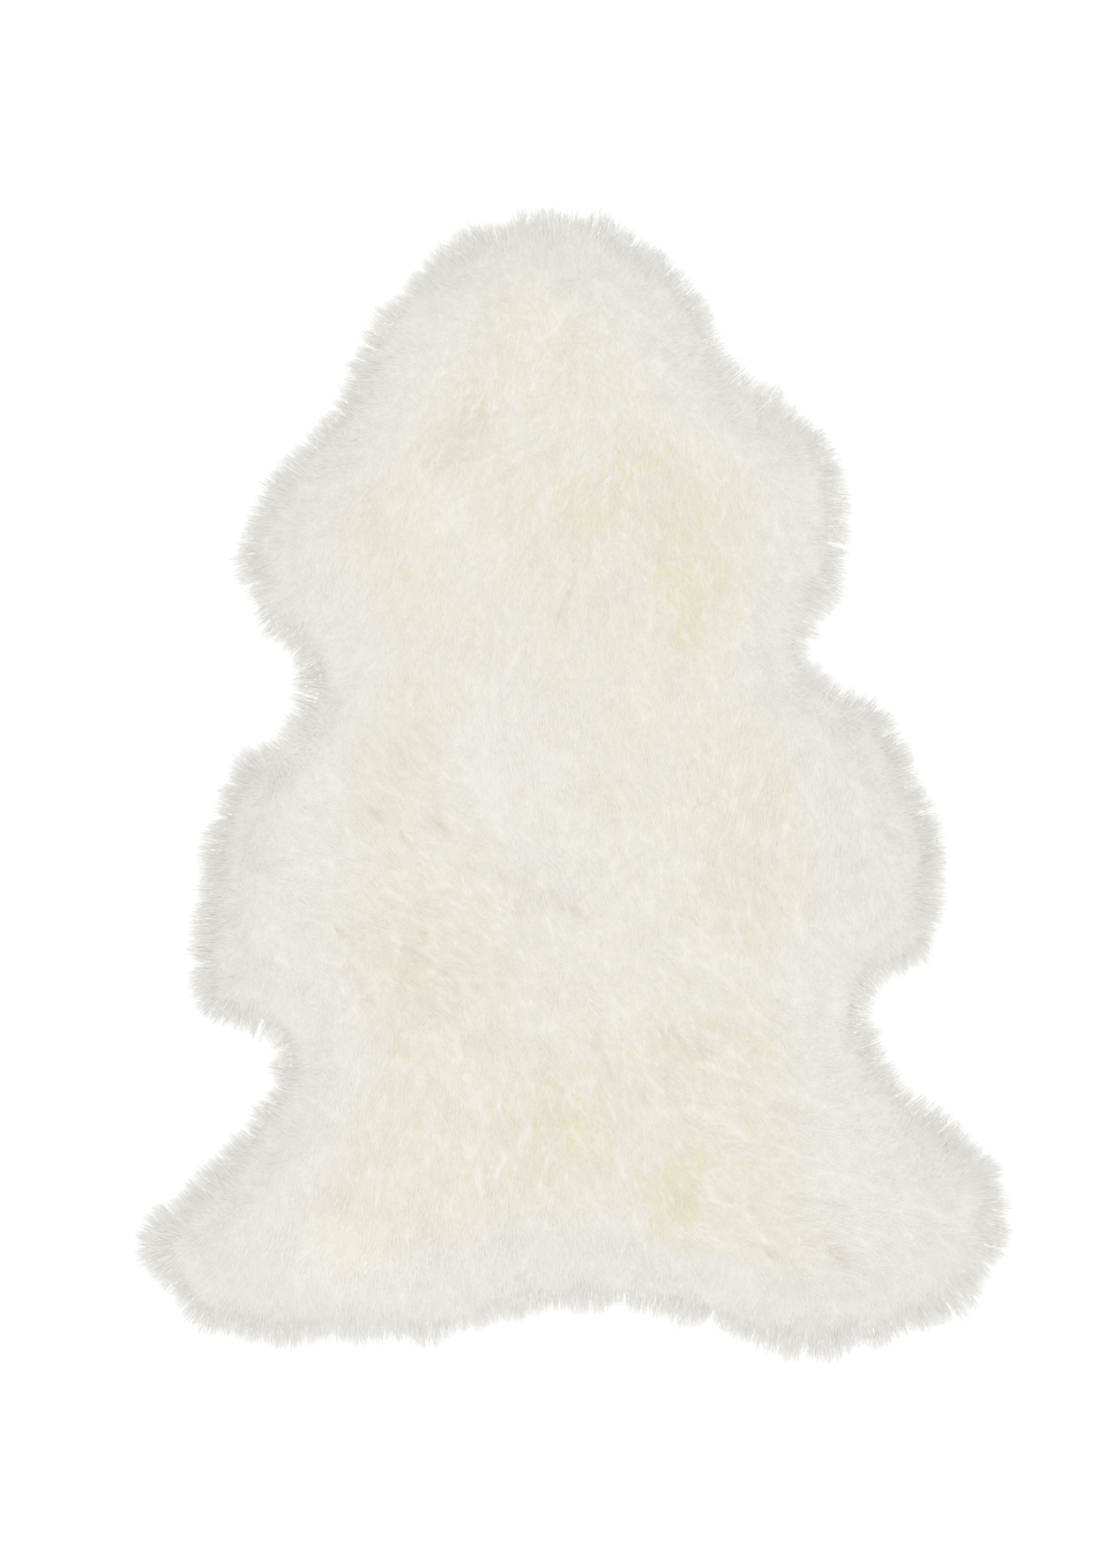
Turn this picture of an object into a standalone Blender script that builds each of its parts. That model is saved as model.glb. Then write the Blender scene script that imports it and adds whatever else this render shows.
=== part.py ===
"""A sheepskin rug lying wool side up: one whole pelt, its leather flat on the floor and its
wool as one crowned solid that reaches as far as the pile does. Metres, +Z up, neck to +Y."""

from collections import namedtuple
from math import exp, sqrt

import bmesh
import bpy
from mathutils import Vector
from mathutils.geometry import delaunay_2d_cdt, interpolate_bezier
from mathutils.kdtree import KDTree

# Driving dimensions
PELT_LENGTH = 0.945  # from the neck's wool to the hind legs' wool
PILE_HEIGHT = 0.052  # leather and wool together, where the wool stands full
RIM_WIDTH = 0.056  # how far in from the edge the wool takes to rise to that
RIM_LIP = 0.006  # the upright edge of the lowest wool, which lies on the floor

# The mesh of the wool's top: rings that follow the edge up the rim, and a field inside them.
EDGE_SPACING = 0.017
RING_INSETS = (0.004, 0.010, 0.018, 0.028, 0.040, 0.054)
FIELD_SPACING = 0.023
STEPS_PER_STRETCH = 24  # straight pieces that draw the curve between two edge points

# The pelt's edge as seen from above, clockwise from the left of the nape.
EdgePoint = namedtuple("EdgePoint", "place across along")

NECK = (
    EdgePoint("left side", -0.155, 0.389),
    EdgePoint("left of the nape", -0.121, 0.430),
    EdgePoint("nape, left", -0.078, 0.458),
    EdgePoint("nape", -0.014, 0.471),
    EdgePoint("nape, right", 0.036, 0.462),
    EdgePoint("right of the nape", 0.080, 0.434),
    EdgePoint("right side", 0.115, 0.391),
)
RIGHT_FLANK = (
    EdgePoint("throat", 0.140, 0.342),
    EdgePoint("shoulder slope", 0.183, 0.313),
    EdgePoint("foreleg, upper side", 0.218, 0.278),
    EdgePoint("foreleg, end", 0.228, 0.232),
    EdgePoint("foreleg, lower side", 0.223, 0.162),
    EdgePoint("armpit, above", 0.207, 0.130),
    EdgePoint("armpit", 0.199, 0.110),
    EdgePoint("chest", 0.219, 0.086),
    EdgePoint("ribs", 0.257, 0.064),
    EdgePoint("belly, front", 0.285, 0.014),
    EdgePoint("belly, middle", 0.304, -0.040),
    EdgePoint("belly, back", 0.309, -0.100),
    EdgePoint("flap of the flank", 0.297, -0.145),
    EdgePoint("groin, above", 0.259, -0.167),
    EdgePoint("groin", 0.246, -0.196),
    EdgePoint("thigh", 0.260, -0.223),
    EdgePoint("hind leg, front", 0.287, -0.258),
    EdgePoint("hind leg, shin", 0.326, -0.289),
    EdgePoint("hind leg, knee", 0.353, -0.315),
    EdgePoint("hind leg, end", 0.358, -0.362),
    EdgePoint("hind leg, heel", 0.348, -0.408),
)
TAIL = (
    EdgePoint("right hind leg's corner", 0.300, -0.445),
    EdgePoint("right buttock's far side", 0.226, -0.468),
    EdgePoint("right buttock", 0.162, -0.464),
    EdgePoint("right buttock, rise", 0.118, -0.449),
    EdgePoint("tail, right", 0.074, -0.437),
    EdgePoint("tail, left", -0.006, -0.434),
    EdgePoint("step, high side", -0.050, -0.440),
    EdgePoint("step, low side", -0.080, -0.454),
    EdgePoint("left buttock", -0.145, -0.461),
    EdgePoint("left buttock's far side", -0.254, -0.457),
    EdgePoint("left hind leg's corner", -0.309, -0.443),
)
LEFT_FLANK = (
    EdgePoint("hind leg, heel", -0.336, -0.412),
    EdgePoint("hind leg, end", -0.354, -0.378),
    EdgePoint("hind leg, shin", -0.328, -0.343),
    EdgePoint("hind leg, front", -0.287, -0.305),
    EdgePoint("thigh", -0.255, -0.260),
    EdgePoint("groin", -0.240, -0.228),
    EdgePoint("groin, above", -0.252, -0.209),
    EdgePoint("flap of the flank", -0.286, -0.202),
    EdgePoint("belly, back", -0.309, -0.172),
    EdgePoint("belly, middle", -0.306, -0.098),
    EdgePoint("belly, front", -0.296, -0.034),
    EdgePoint("ribs", -0.274, 0.017),
    EdgePoint("chest", -0.243, 0.043),
    EdgePoint("armpit", -0.217, 0.084),
    EdgePoint("armpit, above", -0.228, 0.106),
    EdgePoint("foreleg, lower side", -0.258, 0.134),
    EdgePoint("foreleg, end", -0.272, 0.190),
    EdgePoint("foreleg, upper side", -0.256, 0.238),
    EdgePoint("shoulder slope", -0.228, 0.275),
    EdgePoint("throat", -0.190, 0.319),
    EdgePoint("above the throat", -0.177, 0.354),
)

# Where the wool lies lower than its full height.
Hollow = namedtuple("Hollow", "place across along depth reach")

HOLLOWS = (
    Hollow("parting behind the head, left end", -0.120, 0.215, 0.004, 0.050),
    Hollow("parting behind the head, middle", -0.060, 0.165, 0.005, 0.050),
    Hollow("parting behind the head, right end", -0.010, 0.110, 0.004, 0.050),
    Hollow("rub mark on the neck", -0.090, 0.300, 0.004, 0.045),
    Hollow("over the right foreleg", 0.105, 0.150, 0.005, 0.070),
    Hollow("left armpit", -0.185, 0.075, 0.006, 0.075),
    Hollow("right armpit", 0.165, 0.105, 0.006, 0.070),
    Hollow("left flank", -0.140, -0.090, 0.005, 0.080),
    Hollow("left groin", -0.205, -0.235, 0.006, 0.075),
    Hollow("right groin", 0.205, -0.200, 0.006, 0.075),
    Hollow("rump", 0.010, -0.290, 0.005, 0.070),
    Hollow("right hind leg", 0.210, -0.340, 0.004, 0.080),
)

WOOL_COLOUR = (0.82, 0.79, 0.70, 1.0)
WOOL_ROUGHNESS = 0.95


def drawn_edge():
    """The pelt's edge as a fine closed line through its points, at the pelt's length."""
    points = [Vector((p.across, p.along)) for p in (*NECK, *RIGHT_FLANK, *TAIL, *LEFT_FLANK)]
    line = []
    for index, start in enumerate(points):
        behind = points[index - 1]
        end = points[(index + 1) % len(points)]
        ahead = points[(index + 2) % len(points)]
        reach = (end - start).length / 3
        leaving = start + (end - behind).normalized() * reach
        arriving = end - (ahead - start).normalized() * reach
        stretch = interpolate_bezier(start, leaving, arriving, end, STEPS_PER_STRETCH + 1)
        line += [Vector(point) for point in stretch[:-1]]
    scale = PELT_LENGTH / (max(p.y for p in line) - min(p.y for p in line))
    return [point * scale for point in line]


def spaced_out(line, spacing):
    """Points evenly along a closed line, about this far apart."""
    ends = [*line[1:], line[0]]
    lengths = [(end - start).length for start, end in zip(line, ends)]
    step = sum(lengths) / round(sum(lengths) / spacing)
    found, left_over = [], 0.0
    for start, end, length in zip(line, ends, lengths):
        while left_over < length:
            found.append(start.lerp(end, left_over / length))
            left_over += step
        left_over -= length
    return found


def tree_of(line):
    tree = KDTree(len(line))
    for index, point in enumerate(line):
        tree.insert(point.to_3d(), index)
    tree.balance()
    return tree


def inset_of(point, edge_tree):
    """How far a point lies from the pelt's edge."""
    return edge_tree.find(point.to_3d())[2]


def ring_points(edge, inset, edge_tree):
    """The edge moved inwards, without the points that this would bring too near another side."""
    ring = []
    for index, point in enumerate(edge):
        along_edge = edge[(index + 1) % len(edge)] - edge[index - 1]
        inwards = Vector((along_edge.y, -along_edge.x)).normalized()
        moved = point + inwards * inset
        crowded = ring and (moved - ring[-1]).length < EDGE_SPACING / 3
        if not crowded and inset_of(moved, edge_tree) > 0.97 * inset:
            ring.append(moved)
    return ring


def is_inside(point, edge):
    """Whether a line from the point to the right crosses the edge an odd number of times."""
    inside = False
    for start, end in zip(edge, [*edge[1:], edge[0]]):
        if (start.y > point.y) != (end.y > point.y):
            crossing = start.lerp(end, (point.y - start.y) / (end.y - start.y))
            inside ^= crossing.x > point.x
    return inside


def field_points(edge, edge_tree):
    """Even rows of points inside the rings, every other row half a space along."""
    least_inset = RING_INSETS[-1] + FIELD_SPACING / 2
    row_spacing = FIELD_SPACING * sqrt(3) / 2
    rows = round(PELT_LENGTH / 2 / row_spacing)
    found = []
    for row in range(-rows, rows + 1):
        for column in range(-rows, rows + 1):
            point = Vector(((column + row % 2 / 2) * FIELD_SPACING, row * row_spacing))
            if is_inside(point, edge) and inset_of(point, edge_tree) > least_inset:
                found.append(point)
    return found


def pile_height(point, edge_tree):
    """How high the wool stands there: an elliptic rim, then level but for the hollows."""
    short_of_full = 1 - min(inset_of(point, edge_tree) / RIM_WIDTH, 1.0)
    height = PILE_HEIGHT * sqrt(1 - short_of_full**2)
    for hollow in HOLLOWS:
        away = (point - Vector((hollow.across, hollow.along))).length / hollow.reach
        height -= hollow.depth * exp(-(away**2)) * (1 - short_of_full)
    return max(height, RIM_LIP)


def pelt_mesh():
    line = drawn_edge()
    edge_tree = tree_of(line)
    edge = spaced_out(line, EDGE_SPACING)
    points = list(edge)
    for inset in RING_INSETS:
        points += ring_points(edge, inset, edge_tree)
    points += field_points(edge, edge_tree)

    # The wool's top: the points joined by triangles inside the edge, each at its own height.
    inside_the_edge = 1
    spots, _, triangles, *_ = delaunay_2d_cdt(
        points, [], [range(len(edge))], inside_the_edge, 1e-6
    )
    bm = bmesh.new()
    verts = [bm.verts.new((*spot, pile_height(spot, edge_tree))) for spot in spots]
    for triangle in triangles:
        bm.faces.new([verts[corner] for corner in triangle])

    # The lip down to the floor, and the flat underside.
    rim = [border for border in bm.edges if border.is_boundary]
    lip = bmesh.ops.extrude_edge_only(bm, edges=rim)["geom"]
    for part in lip:
        if isinstance(part, bmesh.types.BMVert):
            part.co.z = 0.0
    bmesh.ops.holes_fill(bm, edges=[border for border in bm.edges if border.is_boundary])
    bmesh.ops.recalc_face_normals(bm, faces=bm.faces)

    # The origin lies under the middle of the pelt's box.
    for axis in (0, 1):
        reach = [vert.co[axis] for vert in bm.verts]
        shift = Vector((0.0, 0.0, 0.0))
        shift[axis] = -(min(reach) + max(reach)) / 2
        bmesh.ops.translate(bm, verts=bm.verts, vec=shift)

    mesh = bpy.data.meshes.new("sheepskin")
    bm.to_mesh(mesh)
    bm.free()
    mesh.shade_smooth()
    mesh.set_sharp_from_angle(angle=1.0)
    return mesh


def wool_material():
    material = bpy.data.materials.new("wool")
    material.use_nodes = True
    shader = material.node_tree.nodes["Principled BSDF"]
    shader.inputs["Base Color"].default_value = WOOL_COLOUR
    shader.inputs["Roughness"].default_value = WOOL_ROUGHNESS
    shader.inputs["Metallic"].default_value = 0.0
    return material


for old in list(bpy.data.objects):
    bpy.data.objects.remove(old)

rug = bpy.data.collections.new("sheepskin_rug")
bpy.context.scene.collection.children.link(rug)

sheepskin = bpy.data.objects.new("sheepskin", pelt_mesh())
sheepskin.data.materials.append(wool_material())
rug.objects.link(sheepskin)
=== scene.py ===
import math
from collections import namedtuple

import bmesh
import bpy
import numpy as np
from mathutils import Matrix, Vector, noise
from mathutils.kdtree import KDTree


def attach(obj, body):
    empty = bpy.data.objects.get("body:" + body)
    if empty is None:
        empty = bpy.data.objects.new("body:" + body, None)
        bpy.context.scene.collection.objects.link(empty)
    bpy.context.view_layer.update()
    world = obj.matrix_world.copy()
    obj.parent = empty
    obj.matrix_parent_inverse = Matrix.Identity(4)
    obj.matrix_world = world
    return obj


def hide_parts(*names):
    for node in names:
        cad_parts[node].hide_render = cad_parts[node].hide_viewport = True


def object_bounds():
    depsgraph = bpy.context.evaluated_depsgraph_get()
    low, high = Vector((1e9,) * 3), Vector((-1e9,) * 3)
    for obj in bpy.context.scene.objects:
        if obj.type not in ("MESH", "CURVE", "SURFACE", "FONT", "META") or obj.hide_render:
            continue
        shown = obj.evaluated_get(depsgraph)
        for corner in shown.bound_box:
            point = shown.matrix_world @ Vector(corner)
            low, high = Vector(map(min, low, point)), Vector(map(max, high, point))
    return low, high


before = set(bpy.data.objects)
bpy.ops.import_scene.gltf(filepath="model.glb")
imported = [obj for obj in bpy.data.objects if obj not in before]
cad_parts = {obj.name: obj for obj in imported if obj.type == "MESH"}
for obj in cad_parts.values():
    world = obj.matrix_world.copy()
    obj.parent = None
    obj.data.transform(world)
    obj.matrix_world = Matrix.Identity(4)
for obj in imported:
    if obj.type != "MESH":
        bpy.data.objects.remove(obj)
cad_low, cad_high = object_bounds()


# The hide: the skin of one sheep, tanned soft and buffed to suede on its flesh side, 2 mm thick.
# It is trimmed with a knife well inside the reach of the wool, which grows out of its other side,
# and it lies flat on the floor under all the rest.
HIDE_THICKNESS = 0.0022
TRIM_HEIGHT = 0.0415  # the hide is cut where the slope of the wool over it is this high, 21 mm in
HIDE_CELL = 0.016
FACE_ORDER = Vector((1.0, math.sqrt(2), 7.0))  # faces are listed along this, the same on each run
SUEDE = (0.68, 0.59, 0.47, 1)
SUEDE_PALE = (0.77, 0.70, 0.59, 1)
SUEDE_GREY = (0.57, 0.51, 0.42, 1)
CLOUD_SIZE = 0.11
BLOTCH_SIZE = 0.024
NAP_SIZE = 0.0016
NAP_HEIGHT = 0.0006
WELDED = 1e-6  # corners nearer than this are one

# The sockets of a Mix node that mixes colours
MIX_SHARE, MIX_FIRST, MIX_SECOND, MIX_RESULT = 0, 6, 7, 2


class Tone:
    """A value on its way through a material: sums, differences and products of them add Math nodes."""

    def __init__(self, tree, socket=None):
        self.tree = tree
        self.socket = socket

    def node(self, kind, settings, inputs, output=0):
        """Adds a node of this kind: its settings first, then the values or links of its sockets."""
        made = self.tree.nodes.new(kind)
        for name, setting in settings.items():
            setattr(made, name, setting)
        for name, given in inputs.items():
            if isinstance(given, Tone):
                self.tree.links.new(given.socket, made.inputs[name])
            else:
                made.inputs[name].default_value = given
        return Tone(self.tree, made.outputs[output])

    def maths(self, operation, first, second):
        return self.node("ShaderNodeMath", {"operation": operation}, {0: first, 1: second})

    def __add__(self, other):
        return self.maths("ADD", self, other)

    __radd__ = __add__

    def __sub__(self, other):
        return self.maths("SUBTRACT", self, other)

    def __rsub__(self, other):
        return self.maths("SUBTRACT", other, self)

    def __mul__(self, other):
        return self.maths("MULTIPLY", self, other)

    __rmul__ = __mul__

    def within(self, low, high):
        """0 below low, 1 above high and smooth between them."""
        return self.node(
            "ShaderNodeMapRange",
            {"interpolation_type": "SMOOTHSTEP"},
            {"Value": self, "From Min": low, "From Max": high, "To Min": 0.0, "To Max": 1.0},
        )

    def dyed(self, colour, other):
        """colour where this is 0 and the other colour where it is 1."""
        return self.node(
            "ShaderNodeMix",
            {"data_type": "RGBA"},
            {MIX_SHARE: self, MIX_FIRST: colour, MIX_SECOND: other},
            MIX_RESULT,
        )

    def scaled(self, factors):
        """A vector with each of its parts times one of the factors."""
        return self.node("ShaderNodeVectorMath", {"operation": "MULTIPLY"}, {0: self, 1: factors})

    def grain(self, size, detail=2.0, roughness=0.5):
        """Noise at this vector, whose lumps are about size metres across."""
        return self.node(
            "ShaderNodeTexNoise",
            {},
            {"Vector": self, "Scale": 1 / size, "Detail": detail, "Roughness": roughness},
        )


def new_finish(name):
    """A new material with its Principled shader, and the Tone that its other nodes are made from."""
    material = bpy.data.materials.new(name)
    material.use_nodes = True
    shader = material.node_tree.nodes["Principled BSDF"]
    return material, shader, Tone(material.node_tree)


def new_piece(name, mesh, material):
    """Puts a finished mesh into the scene as a piece of the rug."""
    piece = bpy.data.objects.new(name, mesh)
    bpy.context.scene.collection.objects.link(piece)
    mesh.materials.clear()
    mesh.materials.append(material)
    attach(piece, "root")
    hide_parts("sheepskin")
    return piece


def pelt_form():
    """The pelt's own form, leather and wool together, as one closed mesh."""
    form = bmesh.new()
    form.from_mesh(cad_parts["sheepskin"].data)
    bmesh.ops.remove_doubles(form, verts=form.verts, dist=WELDED)
    return form


def everything(form):
    return form.verts[:] + form.edges[:] + form.faces[:]


def suede():
    """The hide's finish: pale brushed leather with soft clouds and a few greyer blotches."""
    material, shader, tone = new_finish("suede")
    place = tone.node("ShaderNodeTexCoord", {}, {}, "Object")
    clouds = place.grain(CLOUD_SIZE, detail=3.0).within(0.35, 0.68)
    blotches = place.grain(BLOTCH_SIZE, detail=3.0).within(0.5, 0.75)
    nap = place.grain(NAP_SIZE, detail=3.0, roughness=0.6)
    pale = clouds.dyed(SUEDE, SUEDE_PALE)
    spotted = (blotches * 0.45).dyed(pale, SUEDE_GREY)
    brushed = (nap * 0.3).dyed(spotted, SUEDE_PALE)
    bumps = tone.node(
        "ShaderNodeBump",
        {},
        {"Strength": 0.35, "Distance": NAP_HEIGHT, "Height": nap + blotches * 0.6},
    )
    material.node_tree.links.new(brushed.socket, shader.inputs["Base Color"])
    material.node_tree.links.new(bumps.socket, shader.inputs["Normal"])
    shader.inputs["Roughness"].default_value = 0.92
    shader.inputs["Specular IOR Level"].default_value = 0.2
    shader.inputs["Sheen Weight"].default_value = 0.25
    shader.inputs["Sheen Roughness"].default_value = 0.5
    return material


cut = pelt_form()
bmesh.ops.bisect_plane(
    cut,
    geom=everything(cut),
    plane_co=(0, 0, TRIM_HEIGHT),
    plane_no=(0, 0, 1),
    clear_inner=True,
    clear_outer=True,
)
bmesh.ops.subdivide_edges(cut, edges=cut.edges[:], cuts=1)
bmesh.ops.smooth_vert(
    cut, verts=cut.verts, factor=0.5, use_axis_x=True, use_axis_y=True, use_axis_z=False
)
bmesh.ops.contextual_create(cut, geom=cut.edges[:])
for across in np.arange(cad_low.x + HIDE_CELL, cad_high.x, HIDE_CELL):
    bmesh.ops.bisect_plane(cut, geom=everything(cut), plane_co=(across, 0, 0), plane_no=(1, 0, 0))
for along in np.arange(cad_low.y + HIDE_CELL, cad_high.y, HIDE_CELL):
    bmesh.ops.bisect_plane(cut, geom=everything(cut), plane_co=(0, along, 0), plane_no=(0, 1, 0))
for vertex in cut.verts:
    vertex.co.z = 0.0
bmesh.ops.recalc_face_normals(cut, faces=cut.faces[:])
for face in cut.faces:
    if face.normal.z < 0:
        face.normal_flip()
hide_area = sum(face.calc_area() for face in cut.faces)
raised = bmesh.ops.extrude_face_region(cut, geom=cut.faces[:])
for part in raised["geom"]:
    if isinstance(part, bmesh.types.BMVert):
        part.co.z = HIDE_THICKNESS
bmesh.ops.recalc_face_normals(cut, faces=cut.faces[:])
cut.faces.sort(key=lambda face: face.calc_center_median().dot(FACE_ORDER))
hide_mesh = bpy.data.meshes.new("hide")
cut.to_mesh(hide_mesh)
cut.free()
hide = new_piece("hide", hide_mesh, suede())


# The root wool: the dense short part of the fleece next to the skin, which the long wool grows through.
# It fills the pelt's form to just under the tips of the locks, and hangs a little past the hide's cut
# edge. It is the same cream wool, felted together; its darker strands are painted shade, for the shade
# deep under the long wool.
ROOT_DEPTH = 0.0052  # how far its top lies under the pelt's form where that is level
ROOT_RIM_DEPTH = 0.0145  # and where the form slopes down to its edge
ROOT_LUMP = 0.0006
COARSE_LUMPS = 70  # to the metre
FINE_LUMPS = 230
ROOT_FOOT = 0.8 * HIDE_THICKNESS  # its lowest part overlaps the hide
FACING_DOWN = -0.9  # a face whose normal points further down than this lies on the floor
ROOT_STRAND = 0.0012
ROOT_RELIEF = 0.0010
ROOT_CREAM = (0.93, 0.908, 0.860, 1)
# painted shade: the dark strands of the root wool, for the shade deep under the long wool
ROOT_PAINTED_SHADE = (0.79, 0.765, 0.700, 1)


def underside(form):
    """The level faces that the pelt's form rests on."""
    return [face for face in form.faces if face.normal.z < FACING_DOWN]


def felted():
    """The root wool's finish: short strands that run towards the tail, cream and painted shade by turns.
    """
    material, shader, tone = new_finish("root_wool")
    place = tone.node("ShaderNodeTexCoord", {}, {}, "Object")
    strands = place.scaled((1.0, 0.25, 1.0)).grain(ROOT_STRAND, detail=3.0)
    # painted shade: the darker strands stand in for the shade deep in the fleece
    deep = ((strands - 0.5) * 1.5 + 0.5).dyed(ROOT_PAINTED_SHADE, ROOT_CREAM)
    bumps = tone.node(
        "ShaderNodeBump", {}, {"Strength": 0.5, "Distance": ROOT_RELIEF, "Height": strands}
    )
    material.node_tree.links.new(deep.socket, shader.inputs["Base Color"])
    material.node_tree.links.new(bumps.socket, shader.inputs["Normal"])
    shader.inputs["Roughness"].default_value = 0.9
    shader.inputs["Specular IOR Level"].default_value = 0.1
    return material


root_form = pelt_form()
bmesh.ops.delete(root_form, geom=underside(root_form), context="FACES")
bmesh.ops.subdivide_edges(root_form, edges=root_form.edges[:], cuts=1, use_grid_fill=True)
bmesh.ops.triangulate(root_form, faces=root_form.faces[:])
root_form.normal_update()
for vertex in root_form.verts:
    lump = noise.noise(vertex.co * COARSE_LUMPS) * ROOT_LUMP
    lump += noise.noise(vertex.co * FINE_LUMPS) * ROOT_LUMP * 0.5
    upright = max(vertex.normal.z, 0) ** 2
    depth = ROOT_RIM_DEPTH * (1 - upright) + ROOT_DEPTH * upright + lump
    vertex.co -= vertex.normal * depth
    vertex.co.z = max(vertex.co.z, ROOT_FOOT)
bmesh.ops.smooth_vert(
    root_form, verts=root_form.verts, factor=0.3, use_axis_x=True, use_axis_y=True, use_axis_z=True
)
root_edge = [edge for edge in root_form.edges if edge.is_boundary]
for edge in root_edge:
    for vertex in edge.verts:
        vertex.co.z = ROOT_FOOT
filled = bmesh.ops.holes_fill(root_form, edges=root_edge)
bmesh.ops.triangulate(root_form, faces=filled["faces"])
bmesh.ops.recalc_face_normals(root_form, faces=root_form.faces[:])
root_mesh = bpy.data.meshes.new("root_wool")
root_form.to_mesh(root_mesh)
root_form.free()
root_mesh.polygons.foreach_set("use_smooth", np.ones(len(root_mesh.polygons), bool))
root_wool = new_piece("root_wool", root_mesh, felted())


# The long wool: cream hair, washed and combed, that stands 5 cm thick on the hide. Fine tufts of it draw
# together into locks that lie over one another towards the tail, and fan out and droop round the edge.
# It grows in three coats: a broad under-coat, the fine over-coat, and single hairs round the edge.

# A coat's wisps stand spacing apart, and no further inside the edge than within. Each is a cone that is
# width across and flatness times as thick, with so many cuts across it. lift and edge_lift are how far
# its tip stands over the pelt's form, drawn is how much its tuft and lock draw it in, and stray is how
# much shorter the shortest are at the edge, or longer where it is below 0.
Coat = namedtuple("Coat", "spacing within cuts width flatness length lift edge_lift drawn stray seed")
UNDERCOAT = Coat(
    spacing=0.0040,
    within=1.0,
    cuts=0,
    width=0.0050,
    flatness=0.25,
    length=0.026,
    lift=-0.0020,
    edge_lift=-0.0045,
    drawn=0.30,
    stray=0.0,
    seed=31,
)
OVERCOAT = Coat(
    spacing=0.00193,
    within=1.0,
    cuts=1,
    width=0.0011,
    flatness=0.50,
    length=0.026,
    lift=-0.0014,
    edge_lift=0.0010,
    drawn=1.0,
    stray=0.010,
    seed=41,
)
EDGE_HAIRS = Coat(
    spacing=0.00135,
    within=0.009,
    cuts=0,
    width=0.0005,
    flatness=0.60,
    length=0.020,
    lift=0.0,
    edge_lift=0.0010,
    drawn=1.0,
    stray=-0.012,
    seed=51,
)
TUFT_SPACING = 0.0075
TUFT_SEED = 12
LOCK_SPACING = 0.020
LOCK_SEED = 13
HABIT_SEED = 21  # of how each lock and tuft differs from the next
LOCK_SWAY = 0.16
TUFT_SWAY = 0.13
CURL_SEED = 3
THROWN = 3.2  # places to each square of the spacing, before the crowded ones are left out
FULL_TURN = 2 * math.pi
LEAST_LENGTH = 1e-9  # so that nothing is divided by 0

EDGE_FRINGE = 0.012  # nearer to the outline than this the wool is all fringe
EDGE_REACH = 0.074  # and further in than this none of it is
OUTWARD_BLEND = 0.008  # the outline over about this length settles which way is out

# The combing: the way the brush went over each part of the pelt, as so much to the right and so much
# ahead to the neck, and how far round that place it holds.
Stroke = namedtuple("Stroke", "place across along right ahead reach")
STROKES = (
    Stroke("poll", 0.00, 0.41, 0.10, 0.10, 0.07),
    Stroke("left of the neck", -0.09, 0.31, -0.45, -0.55, 0.07),
    Stroke("right of the neck", 0.08, 0.33, 0.40, -0.45, 0.07),
    Stroke("withers", 0.02, 0.24, -0.10, -0.85, 0.07),
    Stroke("left shoulder", -0.17, 0.18, -0.25, -0.95, 0.06),
    Stroke("under the ridge", -0.07, 0.15, -0.40, -0.80, 0.05),
    Stroke("right shoulder", 0.11, 0.19, 0.20, -0.90, 0.08),
    Stroke("middle of the back", 0.00, 0.02, 0.15, -0.95, 0.07),
    Stroke("left ribs", -0.15, -0.04, 0.70, -0.55, 0.07),
    Stroke("left flank", -0.12, -0.15, 0.85, -0.45, 0.07),
    Stroke("loin", 0.00, -0.10, 0.60, -0.70, 0.06),
    Stroke("right ribs", 0.15, -0.05, 0.00, -0.95, 0.08),
    Stroke("right flank", 0.12, -0.22, 0.70, -0.60, 0.07),
    Stroke("right haunch", 0.20, -0.33, 0.90, -0.30, 0.07),
    Stroke("rump", -0.01, -0.30, 0.15, -0.95, 0.07),
    Stroke("left haunch", -0.19, -0.37, -0.35, -0.85, 0.07),
    Stroke("left thigh", -0.16, -0.27, -0.10, -0.95, 0.07),
)
TAILWARD = (0.0, -0.9)  # how the wool falls where no brush went
UNBRUSHED = 0.02
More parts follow.
